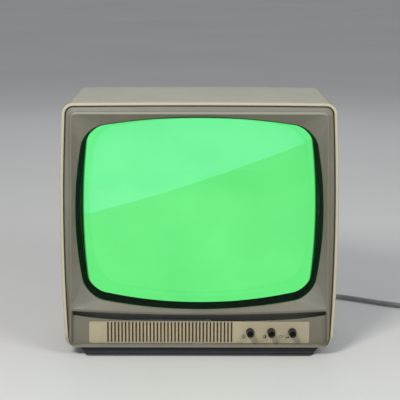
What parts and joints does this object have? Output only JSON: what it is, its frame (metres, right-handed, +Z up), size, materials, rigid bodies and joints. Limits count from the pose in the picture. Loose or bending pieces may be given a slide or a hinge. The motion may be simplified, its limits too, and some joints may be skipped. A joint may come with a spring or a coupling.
{
  "type": "cathode ray tube monitor",
  "caption": "Desktop cathode ray tube video monitor: bowed cabinet, dished bezel, lit green screen, slotted grille, front knobs, rear housing and coiled mains lead.",
  "frame": {"origin": "on the supporting surface, under the middle of the cabinet with its knobs and rear controls, the mains lead left out", "axes": "+X to the right seen from the front, -Y towards the viewer through the screen, +Z up"},
  "size_m": [0.5165, 0.3, 0.2796],
  "materials": {
    "bezel_plastic": "moulded grey-olive ABS, fine spark texture",
    "cabinet_plastic": "moulded warm beige ABS, fine spark texture, slightly aged",
    "fascia_plastic": "moulded cream ABS, satin",
    "black_plastic": "matt black",
    "plinth_plastic": "dark brown-grey moulded plastic",
    "rubber": "matt",
    "face_glass": "polished tinted glass",
    "phosphor": "green phosphor, lit",
    "tube_glass": "clear glass",
    "aquadag": "graphite coating",
    "base_plastic": "brown moulded phenolic",
    "steel": "zinc plated",
    "gun_metal": "bright nickel steel",
    "copper_braid": "tinned copper braid",
    "ht_wire": "red silicone insulation",
    "liner_plastic": "off-white moulded plastic",
    "ferrite": "dark grey ferrite",
    "copper_wire": "enamelled copper wire",
    "magnet_plastic": "magnetic plastic",
    "circuit_board": "brown paper phenolic board",
    "galvanised": "galvanised steel",
    "laminations": "varnished laminations",
    "winding_tape": "varnished tape",
    "potting": "black potting",
    "aluminium": "extruded",
    "chip_black": "moulded epoxy",
    "capacitor_sleeve": "blue shrink sleeve",
    "film_dip": "orange dip",
    "resistor_body": "tan lacquer",
    "connector_nylon": "natural nylon",
    "trimmer_blue": "blue moulded plastic",
    "shaft_plastic": "black nylon",
    "shaft_metal": "turned",
    "pot_metal": "pressed steel",
    "knob_plastic": "black, satin gloss",
    "speaker_steel": "grey paint",
    "cone_paper": "pressed paper",
    "magnet_steel": "zinc plated",
    "jack_metal": "nickel plated",
    "harness_wire": "dark PVC insulation",
    "relief_rubber": "matt",
    "cord_pvc": "grey PVC sheath",
    "plug_plastic": "grey moulded PVC",
    "pin_metal": "nickel plated brass"
  },
  "bodies": {
    "monitor": {"front_bezel": "bezel_plastic", "rear_cover": "cabinet_plastic", "control_fascia": "fascia_plastic", "screen_mask": "black_plastic", "plinth": "plinth_plastic", "rubber_feet": "rubber", "crt_faceplate": "face_glass", "phosphor_screen": "phosphor", "crt_funnel": "aquadag", "crt_neck": "tube_glass", "crt_base": "base_plastic", "electron_gun": "gun_metal", "tension_band": "steel", "assembly_screws": "steel", "anode_cap": "rubber", "anode_lead": "ht_wire", "ground_braid": "copper_braid", "yoke_liner": "liner_plastic", "yoke_core": "ferrite", "line_coils": "copper_wire", "frame_coils": "copper_wire", "yoke_clamp": "steel", "neck_socket": "base_plastic", "neck_board": "circuit_board", "main_board": "circuit_board", "chassis_rails": "galvanised", "transformer_core": "laminations", "transformer_winding": "winding_tape", "flyback_transformer": "potting", "heatsink": "aluminium", "semiconductors": "chip_black", "electrolytic_capacitors": "capacitor_sleeve", "film_capacitors": "film_dip", "resistors": "resistor_body", "connectors": "connector_nylon", "trimmer_bodies": "trimmer_blue", "control_board": "circuit_board", "pot_bodies": "pot_metal", "power_switch": "black_plastic", "speaker_frame": "speaker_steel", "speaker_magnet": "magnet_steel", "signal_jacks": "jack_metal", "wiring_harness": "harness_wire", "strain_relief": "relief_rubber", "mains_cord": "cord_pvc", "cord_coil": "cord_pvc", "mains_plug": "plug_plastic", "plug_pins": "pin_metal"},
    "brightness_control": {"brightness_knob": "knob_plastic", "brightness_shaft": "shaft_metal"},
    "contrast_control": {"contrast_knob": "knob_plastic", "contrast_shaft": "shaft_metal"},
    "volume_control": {"volume_knob": "knob_plastic", "volume_shaft": "shaft_metal"},
    "v_hold_control": {"v_hold_shaft": "shaft_plastic"},
    "height_control": {"height_shaft": "shaft_plastic"},
    "h_hold_control": {"h_hold_shaft": "shaft_plastic"},
    "front_ring_magnet": {"centring_ring_front": "magnet_plastic"},
    "rear_ring_magnet": {"centring_ring_rear": "magnet_plastic"},
    "speaker_diaphragm": {"speaker_cone": "cone_paper"}
  },
  "joints": [
    {"name": "brightness_turn", "type": "hinge", "parent": "monitor", "child": "brightness_control", "pos_m": [0.0558, -0.13, 0.0264], "axis": [0, 1, 0], "range_deg": [-150, 150]},
    {"name": "contrast_turn", "type": "hinge", "parent": "monitor", "child": "contrast_control", "pos_m": [0.0789, -0.13, 0.0264], "axis": [0, 1, 0], "range_deg": [-150, 150]},
    {"name": "volume_turn", "type": "hinge", "parent": "monitor", "child": "volume_control", "pos_m": [0.1019, -0.13, 0.0264], "axis": [0, 1, 0], "range_deg": [-140, 160]},
    {"name": "v_hold_turn", "type": "hinge", "parent": "monitor", "child": "v_hold_control", "pos_m": [-0.03, 0.135, 0.033], "axis": [0, 1, 0], "range_deg": [-135, 135]},
    {"name": "height_turn", "type": "hinge", "parent": "monitor", "child": "height_control", "pos_m": [-0.005, 0.135, 0.033], "axis": [0, 1, 0], "range_deg": [-135, 135]},
    {"name": "h_hold_turn", "type": "hinge", "parent": "monitor", "child": "h_hold_control", "pos_m": [0.02, 0.135, 0.033], "axis": [0, 1, 0], "range_deg": [-135, 135]},
    {"name": "front_ring_turn", "type": "hinge", "parent": "monitor", "child": "front_ring_magnet", "pos_m": [0, 0.052, 0.1565], "axis": [0, 1, 0], "continuous": true},
    {"name": "rear_ring_turn", "type": "hinge", "parent": "monitor", "child": "rear_ring_magnet", "pos_m": [0, 0.055, 0.1565], "axis": [0, 1, 0], "continuous": true},
    {"name": "cone_travel", "type": "slide", "parent": "monitor", "child": "speaker_diaphragm", "axis": [0, 1, 0], "range_m": [-0.0008, 0.0008], "stiffness_N_per_m": 800}
  ]
}
